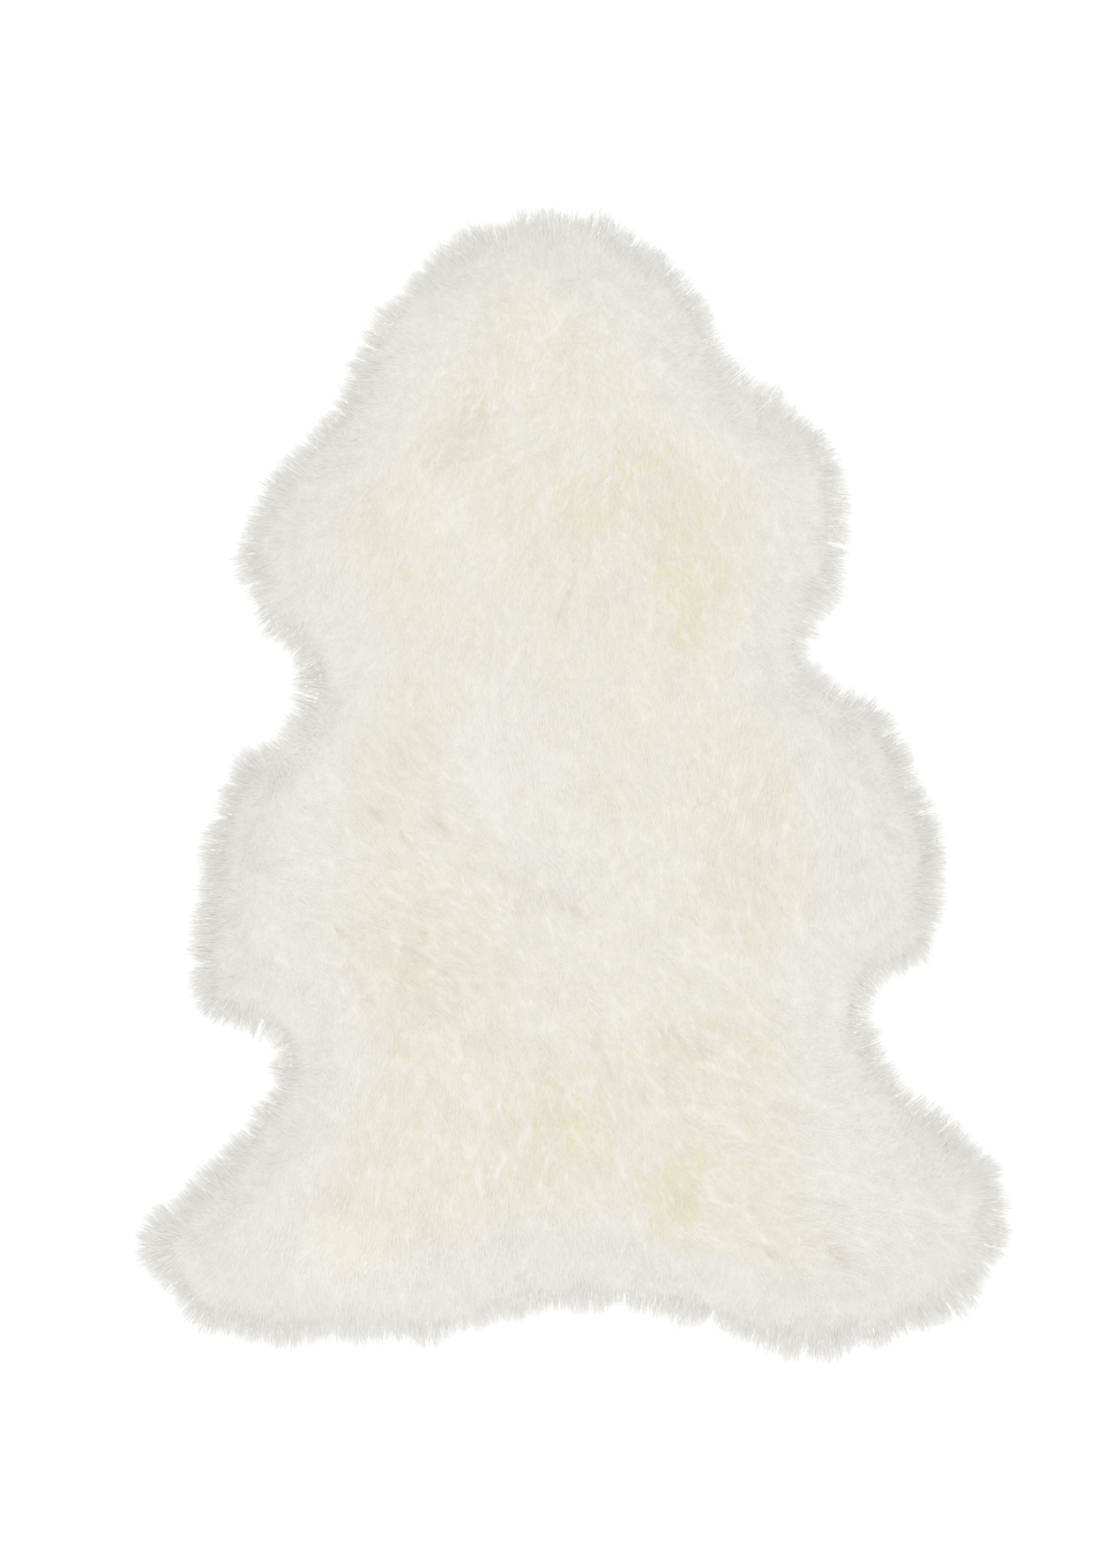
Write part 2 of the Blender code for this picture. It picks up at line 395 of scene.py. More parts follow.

# The partings: short dark dashes of painted shade, the shade of a gap between two locks, tinted brown;
# the wool itself is not opened there. Each is turned so many degrees from the rug's width, and its depth
# is how dark it is painted.
Parting = namedtuple("Parting", "place across along turn length depth")
PAINTED_SHADE_PARTINGS = (
    Parting("left ribs", -0.160, -0.026, -35, 0.016, 0.008),
    Parting("left ribs", -0.136, -0.047, -30, 0.018, 0.006),
    Parting("left ribs", -0.108, -0.035, -35, 0.020, 0.006),
    Parting("loin", -0.055, -0.078, -15, 0.014, 0.008),
    Parting("loin", -0.001, -0.104, -27, 0.040, 0.008),
    Parting("left flank", -0.188, -0.124, -40, 0.022, 0.006),
    Parting("left flank", -0.168, -0.178, -30, 0.018, 0.007),
    Parting("left flank", -0.112, -0.185, -15, 0.018, 0.007),
    Parting("left flank", -0.050, -0.105, -5, 0.016, 0.005),
    Parting("right flank", 0.078, -0.205, -20, 0.020, 0.008),
    Parting("right flank", 0.107, -0.222, -75, 0.014, 0.009),
    Parting("right flank", 0.054, -0.255, -20, 0.020, 0.006),
    Parting("rump", 0.030, -0.235, -80, 0.010, 0.007),
    Parting("right haunch", 0.161, -0.384, -30, 0.018, 0.009),
    Parting("right haunch", 0.218, -0.388, -60, 0.022, 0.008),
    Parting("right haunch", 0.205, -0.345, -10, 0.040, 0.003),
    Parting("shoulders", -0.006, 0.150, -110, 0.050, 0.005),
    Parting("left flank", -0.129, -0.142, -8, 0.016, 0.005),
    Parting("left flank", -0.105, -0.157, -12, 0.018, 0.005),
    Parting("left flank", -0.081, -0.164, -10, 0.014, 0.006),
    Parting("left flank", -0.071, -0.098, -5, 0.010, 0.004),
    Parting("left flank", -0.183, -0.154, -30, 0.018, 0.005),
    Parting("loin", -0.048, -0.134, 0, 0.014, 0.004),
    Parting("loin", -0.016, -0.177, -25, 0.010, 0.004),
    Parting("loin", 0.018, -0.211, 15, 0.012, 0.006),
    Parting("right haunch", 0.142, -0.346, -12, 0.018, 0.006),
    Parting("right haunch", 0.124, -0.338, -35, 0.010, 0.004),
    Parting("right flank", 0.169, -0.266, -12, 0.022, 0.004),
    Parting("right flank", 0.107, -0.208, 80, 0.010, 0.005),
)
PARTING_WIDTH = 0.0022

# The fringes: the places round the edge, so wide, where the wool was left longer and stands further
# out, mostly where a leg or the tail was cut off.
Fringe = namedtuple("Fringe", "place across along wide further")
FRINGES = (
    Fringe("left hind leg", -0.357, -0.378, 0.045, 0.008),
    Fringe("left haunch", -0.313, -0.178, 0.030, 0.005),
    Fringe("left elbow", -0.273, 0.173, 0.030, 0.005),
    Fringe("right elbow", 0.224, 0.144, 0.030, 0.005),
    Fringe("tail, right", 0.200, -0.470, 0.050, 0.007),
    Fringe("right hind leg", 0.315, -0.440, 0.040, 0.006),
    Fringe("right hind leg, tip", 0.353, -0.355, 0.040, 0.004),
    Fringe("tail, left", -0.250, -0.455, 0.060, 0.004),
)

# The stains and painted light: yolk is the yellow grease that the fleece still holds after washing. The
# last column is brown soil at its tips, and painted shade where the hind legs, bellies and right rim are
# greyed;
# below 0 the wool is painted lighter: painted light in the notches of the edge, and lighter in a few
# places.
Patch = namedtuple("Patch", "place across along wide long yolk dull")
STAINS_AND_PAINTED_LIGHT = (
    Patch("withers", -0.021, 0.304, 0.175, 0.102, 0.09, 0.0),
    Patch("left of the neck", -0.084, 0.298, 0.028, 0.034, 0.16, 2.2),
    Patch("left of the neck, low", -0.106, 0.268, 0.030, 0.032, 0.12, 1.3),
    Patch("poll", -0.050, 0.429, 0.060, 0.066, 0.18, 0.0),
    Patch("left shoulder, high", -0.180, 0.217, 0.033, 0.055, 0.05, 0.5),
    Patch("left shoulder", -0.142, 0.173, 0.040, 0.084, 0.24, 0.0),
    Patch("ridge of the left shoulder", -0.094, 0.180, 0.062, 0.062, 0.00, -0.5),
    Patch("between the shoulders", -0.014, 0.195, 0.055, 0.077, 0.24, 0.1),
    Patch("right shoulder", 0.070, 0.230, 0.086, 0.062, 0.38, 0.3),
    Patch("right shoulder, low", 0.108, 0.156, 0.053, 0.080, 0.40, 0.2),
    Patch("right shoulder, deep", 0.112, 0.142, 0.031, 0.038, 0.36, 0.5),
    Patch("behind the shoulders", 0.038, 0.100, 0.084, 0.055, 0.09, 0.0),
    Patch("left ribs", -0.145, 0.034, 0.055, 0.066, 0.11, 0.5),
    Patch("middle of the back", -0.043, 0.020, 0.088, 0.102, -0.13, -0.3),
    Patch("right ribs", 0.143, -0.031, 0.066, 0.128, 0.16, 0.2),
    Patch("right flank, high", 0.156, -0.108, 0.040, 0.044, 0.12, 0.4),
    Patch("loin", 0.016, -0.090, 0.102, 0.073, -0.09, -0.1),
    Patch("loin, left", -0.028, -0.090, 0.028, 0.019, 0.05, 0.5),
    Patch("left flank", -0.108, -0.163, 0.077, 0.102, 0.26, 0.2),
    Patch("left flank, high", -0.097, -0.126, 0.053, 0.037, 0.06, 0.5),
    Patch("left flank, low", -0.152, -0.177, 0.047, 0.044, 0.00, 0.4),
    Patch("right flank", 0.100, -0.225, 0.106, 0.055, 0.28, 0.2),
    Patch("right flank, deep", 0.097, -0.215, 0.045, 0.033, 0.05, 0.9),
    Patch("over the rump", 0.038, -0.192, 0.037, 0.026, 0.00, -0.5),
    Patch("rump", -0.003, -0.291, 0.069, 0.066, 0.50, 0.5),
    Patch("rump, left", -0.101, -0.331, 0.139, 0.067, 0.17, 0.0),
    Patch("left thigh", -0.123, -0.274, 0.057, 0.055, 0.10, 0.0),
    Patch("tail", 0.084, -0.347, 0.032, 0.052, 0.55, 0.4),
    Patch("tail, brown", 0.090, -0.352, 0.015, 0.019, 0.30, 1.6),
    Patch("right haunch", 0.133, -0.320, 0.084, 0.084, 0.26, 0.1),
    Patch("right haunch, spot", 0.219, -0.383, 0.026, 0.026, 0.10, 0.6),
    Patch("left haunch", -0.215, -0.372, 0.090, 0.045, 0.15, 0.0),
    Patch("left haunch, bright", -0.187, -0.395, 0.066, 0.042, 0.08, -1.6),
    # painted shade: the hind legs, the bellies and the right rim are greyed, for the shade on the rug's
    # sloping sides
    Patch("right hind leg", 0.265, -0.365, 0.110, 0.130, -0.10, 0.6),
    Patch("left hind leg", -0.265, -0.390, 0.100, 0.080, -0.10, 0.3),
    Patch("left belly", -0.265, -0.053, 0.088, 0.168, -0.36, 0.6),
    Patch("right belly", 0.264, -0.031, 0.088, 0.175, -0.36, 0.5),
    Patch("right haunch, outer", 0.190, -0.395, 0.110, 0.045, 0.12, 0.0),
    Patch("right belly, inner", 0.215, -0.060, 0.050, 0.110, 0.00, 0.5),
    Patch("edge, right belly", 0.305, -0.080, 0.040, 0.110, 0.00, 0.4),
    # painted light: the notches of the edge are painted lighter, against the shade that gathers in them
    Patch("edge, left of the neck", -0.150, 0.375, 0.030, 0.055, 0.00, -0.9),
    Patch("edge, top of the neck", -0.020, 0.455, 0.080, 0.025, 0.00, -0.8),
    Patch("edge, left of the waist", -0.238, 0.028, 0.034, 0.034, 0.00, -1.3),
    Patch("edge, right of the neck", 0.147, 0.312, 0.026, 0.030, 0.00, -1.0),
    Patch("edge, right of the waist", 0.220, 0.056, 0.026, 0.026, 0.00, -1.0),
    Patch("edge, left hind leg", -0.335, -0.375, 0.034, 0.045, 0.00, -0.8),
)
CLEAN = (0.976, 0.969, 0.954, 1)
YOLK = (0.960, 0.912, 0.700, 1)
# brown of the soil, also used for the painted shade of the partings and of the greyed sides
SOIL_AND_SHADE_BROWN = (0.785, 0.742, 0.625, 1)


def outline_of(form):
    """The two ends of each edge round the pelt's underside, as arrays."""
    under = set(underside(form))
    ends = [
        [vertex.co.xy for vertex in edge.verts]
        for edge in form.edges
        if len(under.intersection(edge.link_faces)) == 1
    ]
    return np.array([e[0] for e in ends]), np.array([e[1] for e in ends])


def edge_distance(places, starts, ends):
    """How far each place is inside the outline, and the level way out from there to the edges near it."""
    best = np.full(len(places), np.inf)
    way = np.zeros((len(places), 2))
    for start, end in zip(starts, ends):
        run = end - start
        share = np.clip(((places - start) @ run) / (run @ run), 0, 1)
        gap = start + share[:, None] * run - places
        size = np.maximum(np.hypot(gap[:, 0], gap[:, 1]), LEAST_LENGTH)
        best = np.minimum(best, size)
        pull = np.hypot(run[0], run[1]) * np.exp(-size / OUTWARD_BLEND) / size
        way += gap * pull[:, None]
    return best, way


def unit(vectors):
    return vectors / np.maximum(np.linalg.norm(vectors, axis=-1, keepdims=True), LEAST_LENGTH)


def eased(values, low, high):
    """0 below low, 1 above high and smooth between them."""
    share = np.clip((values - low) / (high - low), 0, 1)
    return share * share * (3 - 2 * share)


def tree_of(places):
    """The places in a tree that finds the near ones quickly."""
    tree = KDTree(len(places))
    for index, place in enumerate(places):
        tree.insert(place, index)
    tree.balance()
    return tree


def strewn(form, spacing, seed):
    """Places strewn over the form, none nearer than spacing to another, and the way out at each."""
    draw = np.random.default_rng(seed)
    corners = np.array([[v.co for v in face.verts] for face in form.faces])
    normals = np.array([[v.normal for v in face.verts] for face in form.faces])
    first_side = corners[:, 1] - corners[:, 0]
    second_side = corners[:, 2] - corners[:, 0]
    sizes = np.linalg.norm(np.cross(first_side, second_side), axis=1) / 2
    count = int(sizes.sum() / spacing**2 * THROWN)
    picked = draw.choice(len(sizes), count, p=sizes / sizes.sum())
    a, b = draw.random((2, count))
    fold = a + b > 1
    a[fold], b[fold] = 1 - a[fold], 1 - b[fold]
    shares = np.stack([1 - a - b, a, b], axis=1)[:, :, None]
    places = (corners[picked] * shares).sum(axis=1)
    ways = unit((normals[picked] * shares).sum(axis=1))
    tree = tree_of(places)
    crowded = np.zeros(count, bool)
    kept = []
    for index, place in enumerate(places):
        if crowded[index]:
            continue
        kept.append(index)
        for _, near, _ in tree.find_range(place, spacing):
            crowded[near] = True
    return places[kept], ways[kept]


def nearest(places, centres):
    """Which of the centres is nearest to each place, and how far it is."""
    tree = tree_of(centres)
    found = [tree.find(place) for place in places]
    return np.array([f[1] for f in found]), np.array([f[2] for f in found])


def combed(places):
    """The level way in which the wool lies at each place; a short one stands more upright."""
    total = np.full((len(places), 1), UNBRUSHED)
    way = np.zeros((len(places), 2)) + np.array(TAILWARD) * UNBRUSHED
    for stroke in STROKES:
        gap = places[:, :2] - (stroke.across, stroke.along)
        weight = np.exp(-(gap**2).sum(axis=1) / (2 * stroke.reach**2))[:, None]
        way += weight * (stroke.right, stroke.ahead)
        total += weight
    return way / total


def curly(places, size, seed):
    """Smooth noise at each place in three directions, in waves about size metres long."""
    offset = Vector((seed * 3.7, seed * 1.3, seed * 2.1))
    return np.array([noise.noise_vector(Vector(p) / size + offset) for p in places])


noise.seed_set(CURL_SEED)
wool_side = pelt_form()
rim_starts, rim_ends = outline_of(wool_side)
bmesh.ops.delete(wool_side, geom=underside(wool_side), context="FACES")
bmesh.ops.triangulate(wool_side, faces=wool_side.faces[:])
wool_side.normal_update()
tufts, _ = strewn(wool_side, TUFT_SPACING, TUFT_SEED)
locks, _ = strewn(wool_side, LOCK_SPACING, LOCK_SEED)
lock_of_tuft, _ = nearest(tufts, locks)
habit = np.random.default_rng(HABIT_SEED)
lock_sway = habit.normal(0, LOCK_SWAY, (len(locks), 2))
tuft_sway = habit.normal(0, TUFT_SWAY, (len(tufts), 2))
lock_lift = habit.normal(0, 1.0, len(locks))
tuft_lift = habit.normal(0, 1.0, len(tufts))
lock_shade = habit.normal(0, 1.0, len(locks))
tuft_shade = habit.normal(0, 1.0, len(tufts))
tuft_crimp = habit.random(len(tufts)) * FULL_TURN

# The roots of a coat: their places on the pelt's form and the way out of it there, how far inside the
# outline and the level way out, how much each belongs to the edge, its tuft and lock and how near it is
# to their middles, and how loosely the wool lies there.
Roots = namedtuple("Roots", "places ways inside out edge tuft lock near_tuft near_lock loose")
TURNING_OUT = (0.001, 0.007)  # nearer to the outline than this, out is the way the form itself faces
LOOSE_IN_FRONT = 0.08
LOOSER_BEHIND = 0.14
BEHIND = (-0.04, 0.05)  # metres behind the middle of the pelt
LOOSE_AT_EDGE = 0.15


def rooted(coat):
    """The roots of every wisp of a coat."""
    places, ways = strewn(wool_side, coat.spacing, coat.seed)
    inside, outward = edge_distance(places[:, :2], rim_starts, rim_ends)
    here = inside < coat.within
    places, ways, inside, outward = places[here], ways[here], inside[here], outward[here]
    inner = eased(inside[:, None], *TURNING_OUT)
    out = unit(unit(outward) * inner + unit(ways[:, :2]) * (1 - inner))
    edge = 1 - eased(inside, EDGE_FRINGE, EDGE_REACH)
    tuft, tuft_gap = nearest(places, tufts)
    lock = lock_of_tuft[tuft]
    lock_gap = np.linalg.norm(places - locks[lock], axis=1)
    near_tuft = 1 - np.clip(tuft_gap / TUFT_SPACING, 0, 1)
    near_lock = 1 - np.clip(lock_gap / LOCK_SPACING, 0, 1)
    loose = LOOSE_IN_FRONT + LOOSER_BEHIND * eased(-places[:, 1], *BEHIND)
    loose = loose * (1 - 0.7 * edge) + LOOSE_AT_EDGE * edge
    return Roots(places, ways, inside, out, edge, tuft, lock, near_tuft, near_lock, loose)


# How far a wisp slants, where 1 is as much along the hide as up from it
FANNED_OUT = 0.95  # outwards at the edge
FAN_UNEVEN = 0.008  # metres by which one wisp fans out sooner than another
EDGE_TO_TAIL = 0.18
SWEPT_ROUND = 2.4  # to the tail, where the combing meets wool that fans out the other way
BROAD_WAVE, BROAD_SLANT = 0.045, 0.40
EDGE_WAVE, EDGE_SLANT = 0.018, 0.14
TIGHT_SWAY, LOOSE_SWAY = 0.6, 0.4
WANDER, LESS_AT_EDGE = 0.09, 0.02
LEAST_SLANT = 0.7
DROOP, MORE_DROOP = 0.15, 0.25
DROOP_HEIGHTS = (0.008, 0.030)  # wool that grows higher than the first of these droops more


def laid(roots, draw):
    """The way in which each wisp lies."""
    count = len(roots.places)
    edge = roots.edge[:, None]
    level = combed(roots.places)
    against = np.clip(-(level * roots.out).sum(axis=1), 0, 1)
    fanned = 1 - eased(roots.inside + draw.normal(0, FAN_UNEVEN, count), EDGE_FRINGE, EDGE_REACH)
    level = level * (1 - fanned[:, None]) + roots.out * fanned[:, None] * FANNED_OUT
    level[:, 1] -= EDGE_TO_TAIL * roots.edge + SWEPT_ROUND * fanned * (1 - fanned) * against
    level += curly(roots.places, BROAD_WAVE, 1)[:, :2] * BROAD_SLANT * (1 - 0.5 * edge)
    level += curly(roots.places, EDGE_WAVE, 2)[:, :2] * EDGE_SLANT * edge
    sway = lock_sway[roots.lock] + tuft_sway[roots.tuft]
    level += sway * (TIGHT_SWAY + LOOSE_SWAY * roots.loose[:, None]) * (1 - 0.8 * edge)
    level += draw.normal(0, 1, (count, 2)) * (WANDER - LESS_AT_EDGE * edge)
    slant = np.linalg.norm(level, axis=1, keepdims=True)
    level *= np.maximum(slant, LEAST_SLANT) / slant
    droop = DROOP + MORE_DROOP * eased(roots.places[:, 2:], *DROOP_HEIGHTS)
    lie = np.concatenate([level, -droop * edge**2], axis=1)
    return lie - roots.ways * (lie * roots.ways).sum(axis=1, keepdims=True) * (1 - 0.85 * edge)


# How high a tip stands over its neighbours, and how far out at the edge
TUFT_CROWN = 0.0010
LOCK_CROWN = 0.0026
TUFT_UNEVEN = 0.0003
LOCK_UNEVEN = 0.0009
WISP_UNEVEN = 0.0003
EDGE_LENGTH = 0.0050
FINE_RAGGED, FINE_RAGGED_OUT = 0.010, 0.0035
BROAD_RAGGED, BROAD_RAGGED_OUT = 0.026, 0.010
BRINK = (0.004, 0.024)  # the last of the fringe, where tufts and locks close up a little more
BRINK_DRAW = 0.02
EVEN_DRAW = 0.04
LOOSE_DRAW = 0.20
TUFT_POINT = 0.003
LOCK_POINT = 0.008
REACH = np.array((0.370, 0.487))  # tips past this are held back more and more, and end within SPARE of it
SPARE = 0.007


def reached(coat, roots, tip_way, draw):
    """Where the tip of each wisp ends, drawn in towards the tips of its tuft and its lock."""
    count = len(roots.places)
    edge, loose = roots.edge, roots.loose
    crown = TUFT_CROWN * roots.near_tuft * (0.2 + 0.8 * loose)
    crown += LOCK_CROWN * roots.near_lock * loose**2
    lift = coat.lift * (1 - edge) + coat.edge_lift * edge
    lift += crown * coat.drawn
    tuft_step = TUFT_UNEVEN * tuft_lift[roots.tuft] * (0.3 + loose)
    lift += tuft_step + LOCK_UNEVEN * lock_lift[roots.lock] * loose
    lift += np.clip(draw.normal(0, WISP_UNEVEN, count), -2 * WISP_UNEVEN, 2 * WISP_UNEVEN)
    tips = roots.places + roots.ways * lift[:, None]

    ragged = curly(roots.places, FINE_RAGGED, 7)[:, 0] * FINE_RAGGED_OUT
    ragged += curly(roots.places, BROAD_RAGGED, 8)[:, 0] * BROAD_RAGGED_OUT
    straggle = ragged + EDGE_LENGTH - coat.stray * draw.random(count) ** 2
    for fringe in FRINGES:
        gap = np.hypot(roots.places[:, 0] - fringe.across, roots.places[:, 1] - fringe.along)
        straggle += fringe.further * (1 - eased(gap, 0.2 * fringe.wide, fringe.wide))
    tips += tip_way * (straggle * eased(edge, 0.5, 1.0) * coat.drawn)[:, None]

    brink = 1 - eased(roots.inside, *BRINK)
    gather = (EVEN_DRAW + LOOSE_DRAW * loose) * (1 - edge) + EVEN_DRAW * edge + BRINK_DRAW * brink
    tuft_tips = tufts[roots.tuft] + tip_way * TUFT_POINT
    tips += (tuft_tips - roots.places) * gather[:, None] * coat.drawn
    gather = LOOSE_DRAW * loose + BRINK_DRAW * brink
    lock_tips = locks[roots.lock] + tip_way * LOCK_POINT
    tips += (lock_tips - roots.places) * gather[:, None] * coat.drawn

    past = np.abs(tips[:, :2]) - REACH
    held = REACH + SPARE * np.tanh(past / SPARE)
    tips[:, :2] = np.where(past > 0, np.sign(tips[:, :2]) * held, tips[:, :2])
    return tips


# The pattern of a wisp: the angle round it and the height of each corner, its faces, and their places
# in its own cell of the baked texture, with its base along the bottom and its sides standing over that.
Pattern = namedtuple("Pattern", "angles heights faces texture")
WISP_SIDES = 3
BASE_CORNERS = ((0.1, 0.01), (0.5, 0.05), (0.9, 0.01))
SIDE_MARGIN = 0.06
SIDES_FROM = 0.08
SIDES_HIGH = 0.9
SEAM_TURN = 0.3  # turned by this, the middle of no side is where one turn ends and the next begins
AT_TIP = 0.99


def angle_of(place):
    return math.atan2(place.y, place.x)


def cell_places(face):
    """Where each corner of one of the wisp's faces lies in its cell."""
    if face.normal.z < FACING_DOWN:
        return BASE_CORNERS
    middle_angle = angle_of(face.calc_center_median())
    side_number = int((middle_angle + SEAM_TURN) % FULL_TURN / FULL_TURN * WISP_SIDES)
    placed = []
    for vertex in face.verts:
        height = vertex.co.z + 0.5
        turn = (angle_of(vertex.co) - middle_angle + math.pi) % FULL_TURN - math.pi
        share = 1 - SIDE_MARGIN if turn > 0 else SIDE_MARGIN
        if height > AT_TIP:
            share = 0.5
        placed.append(((side_number + share) / WISP_SIDES, SIDES_FROM + SIDES_HIGH * height))
    return placed


def wisp_pattern(cuts):
    """A three-sided cone cut across into short lengths, standing for every wisp of a coat."""
    cone = bmesh.new()
    bmesh.ops.create_cone(cone, cap_ends=True, segments=WISP_SIDES, radius1=1, radius2=0, depth=1)
    for cut_number in range(1, cuts + 1):
        height = cut_number / (cuts + 1) - 0.5
        bmesh.ops.bisect_plane(cone, geom=everything(cone), plane_co=(0, 0, height), plane_no=(0, 0, 1))
    bmesh.ops.remove_doubles(cone, verts=cone.verts, dist=WELDED)
    cone.verts.index_update()
    angles = np.array([angle_of(v.co) for v in cone.verts])
    heights = np.array([v.co.z + 0.5 for v in cone.verts])
    faces = [[v.index for v in face.verts] for face in cone.faces]
    texture = np.array([place for face in cone.faces for place in cell_places(face)])
    cone.free()
    return Pattern(angles, heights, faces, texture)


def parting_shade(points):
    """How deep each point is in the painted shade of a parting."""
    dark = np.zeros(points.shape[:2])
    for parting in PAINTED_SHADE_PARTINGS:
        turn = math.radians(parting.turn)
        run = np.array((math.cos(turn), math.sin(turn)))
        gap = points[:, :, :2] - (parting.across, parting.along)
        off = gap @ np.array((-run[1], run[0]))
        share = 1 - eased(np.abs(gap @ run), parting.length * 0.3, parting.length * 0.6)
        dark += parting.depth * np.exp(-((off / PARTING_WIDTH) ** 2)) * share
    return dark


# The whole back is a little yellow, as far out as the belly. The outermost wool is painted lighter:
# painted light against the shade on the slope of the rim.
BACK_YOLK = 0.34
BACK_INSIDE = (0.040, 0.095)
BACK_ACROSS = (0.17, 0.24)
RIM_PAINTED_LIGHT = 0.3
FRINGE_PAINTED_LIGHT_SPAN = (0.003, 0.014)
RIM_PAINTED_LIGHT_SPAN = (0.006, 0.036)
PATCH_WAVE, PATCH_WANDER = 0.03, 0.35


def stains_and_painted_light(roots):
    """How yellow each wisp is, and how much brown soil, painted shade and painted light it takes."""
    across, along = roots.places[:, 0], roots.places[:, 1]
    back = eased(roots.inside, *BACK_INSIDE) * (1 - eased(np.abs(across), *BACK_ACROSS))
    yolk = BACK_YOLK * back
    # painted light: the rim and the last of its fringe are painted lighter
    dull = -RIM_PAINTED_LIGHT * (1 - eased(roots.inside, *FRINGE_PAINTED_LIGHT_SPAN))
    dull -= RIM_PAINTED_LIGHT * (1 - eased(roots.inside, *RIM_PAINTED_LIGHT_SPAN))
    stray = curly(roots.places, PATCH_WAVE, 5)
    for patch in STAINS_AND_PAINTED_LIGHT:
        gap = np.hypot(
            (across - patch.across) / patch.wide + stray[:, 0] * PATCH_WANDER,
            (along - patch.along) / patch.long + stray[:, 1] * PATCH_WANDER,
        )
        there = 1 - eased(gap, 0.25, 1.15)
        yolk += there * patch.yolk
        dull += there * patch.dull
    yolk *= 1 + 0.3 * stray[:, 2] + 0.12 * tuft_shade[roots.tuft]
    return yolk, dull


# How a wisp is bent, crimped and turned, and how thick it is
KNEE_TO_TIP = 0.55
FOOT_TO_KNEE = 0.45
TIP_RISE, EDGE_TIP_RISE = 0.12, 0.22
FOOT_SLANT = 0.25
LENGTH_UNEVEN = 0.08
WIDTH_UNEVEN = 0.15
TURN_UNEVEN = 0.2
CRIMP = 0.0010
CRIMP_ANGLE = 7.5  # from its foot to its tip
ASKEW = 1e-4  # so that a wisp that grows straight out still has a side
LEAST_HEIGHT = 0.0002  # no hair goes into the floor
ROUNDNESS = 0.12  # how much of its own round form shows in its shading; the rest is the pelt's
EDGE_FACES_UP = np.array((0, 0, 0.8))


def bent(coat, roots, pattern, draw):
    """The points of each wisp of a coat, the way each of them faces, and how each is turned round it."""
    count = len(roots.places)
    edge = roots.edge[:, None]
    lie = laid(roots, draw)
    tip_way = unit(lie + roots.ways * (TIP_RISE + EDGE_TIP_RISE * edge))
    root_way = unit(lie * FOOT_SLANT + roots.ways)
    tips = reached(coat, roots, tip_way, draw)
    length = (coat.length * (1 + draw.normal(0, LENGTH_UNEVEN, count)))[:, None]
    knee = tips - tip_way * length * KNEE_TO_TIP
    foot = knee - root_way * length * FOOT_TO_KNEE

    s = pattern.heights[None, :, None]
    line = foot[:, None] * (1 - s) ** 2 + knee[:, None] * 2 * s * (1 - s) + tips[:, None] * s**2
    run = unit((knee - foot)[:, None] * (1 - s) + (tips - knee)[:, None] * s)
    side = unit(np.cross(roots.ways[:, None] + ASKEW, run))
    up = np.cross(run, side)
    swing = np.sin(pattern.heights[None, :] * CRIMP_ANGLE + tuft_crimp[roots.tuft][:, None]) * CRIMP

    taper = np.where(pattern.heights < AT_TIP, 1.0, 0.0)
    width = coat.width * (1 - 0.5 * roots.edge) * (1 + draw.normal(0, WIDTH_UNEVEN, count))
    reach = width[:, None] * taper / 2
    turned = pattern.angles[None, :] + draw.normal(0, TURN_UNEVEN, count)[:, None]
    across = side * np.cos(turned)[:, :, None] + up * np.sin(turned)[:, :, None] * coat.flatness
    line += side * swing[:, :, None]
    line[:, :, 2] = np.maximum(line[:, :, 2], LEAST_HEIGHT + 1.2 * reach)
    points = line + across * reach[:, :, None]
    facing = unit(across * ROUNDNESS + roots.ways[:, None] + EDGE_FACES_UP * edge[:, None])
    return points, facing, turned


# What the finish is told of each wisp: its soil and painted shade, its tone and painted light, and its
# place in the grain of the fibres
SOIL_AND_SHADE_AT_TIPS = 0.15
PAINTED_SHADE_IN_PARTINGS = 150
LIGHTENING = 7.5
LOCK_SHADE, TUFT_SHADE, WISP_SHADE = 0.5, 0.6, 0.6
FIBRE_RADIUS, FIBRE_LENGTH, FIBRE_APART = 0.0008, 0.004, 0.4


